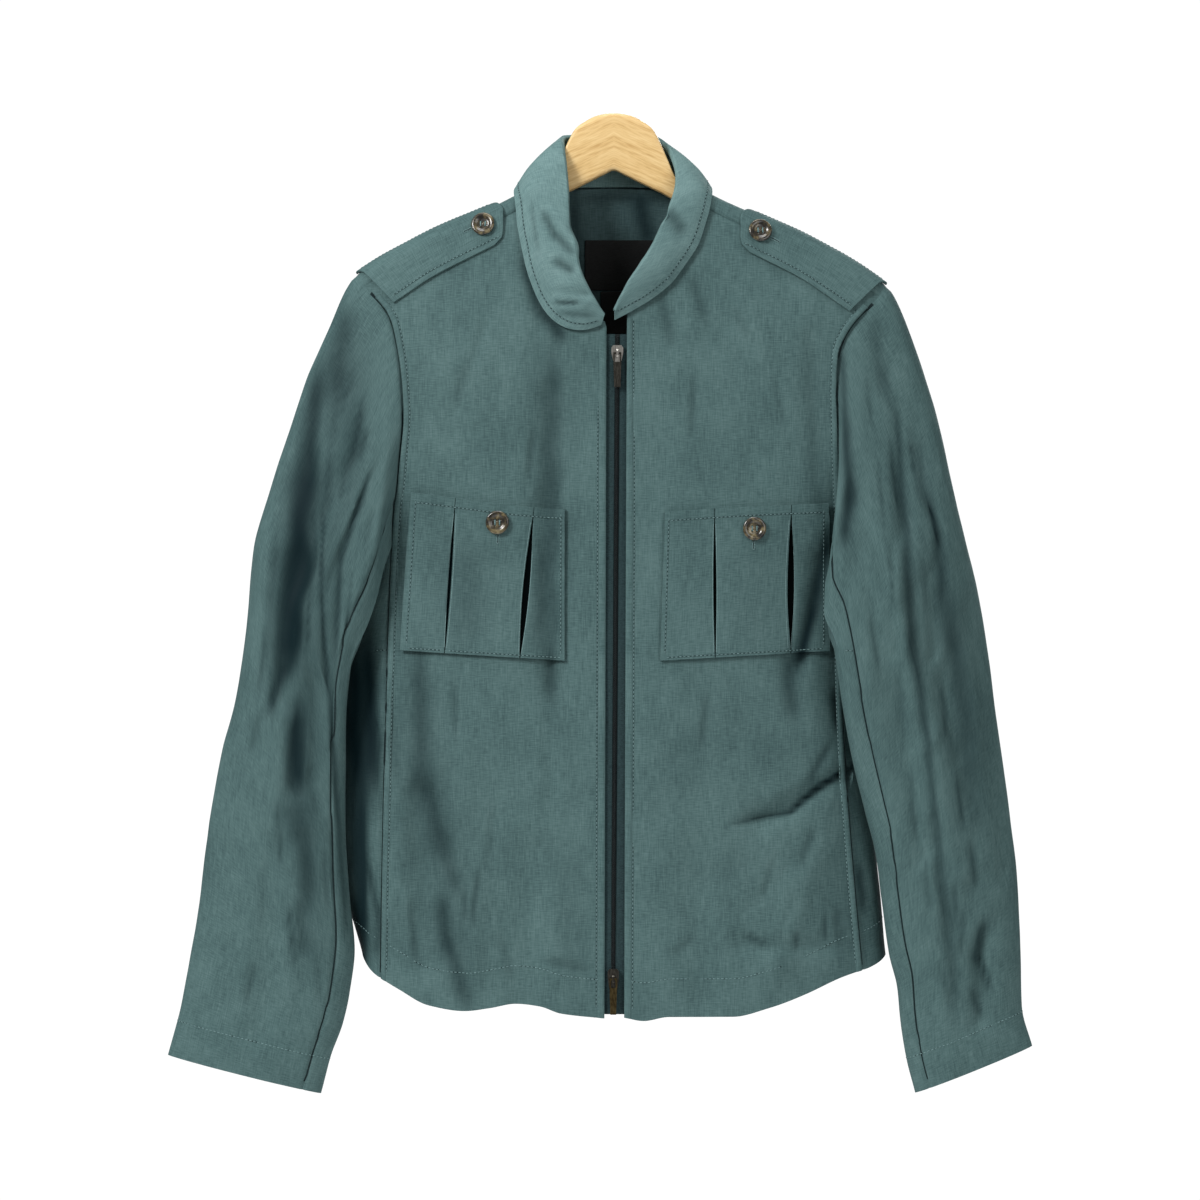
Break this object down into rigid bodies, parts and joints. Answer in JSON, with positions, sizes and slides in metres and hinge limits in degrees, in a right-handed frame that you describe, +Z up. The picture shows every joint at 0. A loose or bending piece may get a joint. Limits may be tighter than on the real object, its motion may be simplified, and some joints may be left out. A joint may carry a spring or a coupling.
{
  "type": "blouson on a wooden hanger",
  "caption": "Zip-front linen blouson with rounded collar, epaulettes, pleated chest pockets and long sleeves, hanging on a wooden hanger",
  "frame": {"origin": "the middle of the hanger's top, where its hook screws in and holds the garment up", "axes": "+X to the right as seen from the front, -Y out of the front of the garment, +Z up"},
  "size_m": [0.6511, 0.0984, 0.7388],
  "materials": {
    "linen": "teal linen with a soft sheen",
    "beech": "pale lacquered wood",
    "horn": "marbled brown horn, polished",
    "zip_tape": "dark woven tape",
    "zip_coil": "black nylon coil",
    "silver": "worn silver",
    "gunmetal": "dark gunmetal",
    "label": "black satin, blank"
  },
  "bodies": {
    "jacket": {"hanger": "beech", "back": "linen", "front_left": "linen", "front_right": "linen", "side_left": "linen", "side_right": "linen", "sleeve_top_left": "linen", "sleeve_under_left": "linen", "sleeve_top_right": "linen", "sleeve_under_right": "linen", "collar": "linen", "epaulette_left": "linen", "epaulette_right": "linen", "pocket_left": "linen", "pocket_right": "linen", "button_epaulette_left": "horn", "button_epaulette_right": "horn", "button_pocket_left": "horn", "button_pocket_right": "horn", "zip_tape_left": "zip_tape", "zip_tape_right": "zip_tape", "zip_coil": "zip_coil", "slider_top": "silver", "slider_bottom": "gunmetal", "neck_label": "label", "size_label": "label"},
    "pull_top": {"zip_pull_top": "gunmetal"},
    "pull_bottom": {"zip_pull_bottom": "gunmetal"}
  },
  "joints": [
    {"name": "pull_top_swing", "type": "hinge", "parent": "jacket", "child": "pull_top", "pos_m": [0.00248, -0.03398, -0.1825], "axis": [-1, 0, 0], "range_deg": [0, 150]},
    {"name": "pull_bottom_swing", "type": "hinge", "parent": "jacket", "child": "pull_bottom", "pos_m": [-0.0006, -0.04975, -0.6505], "axis": [-1, 0, 0], "range_deg": [0, 150]}
  ]
}
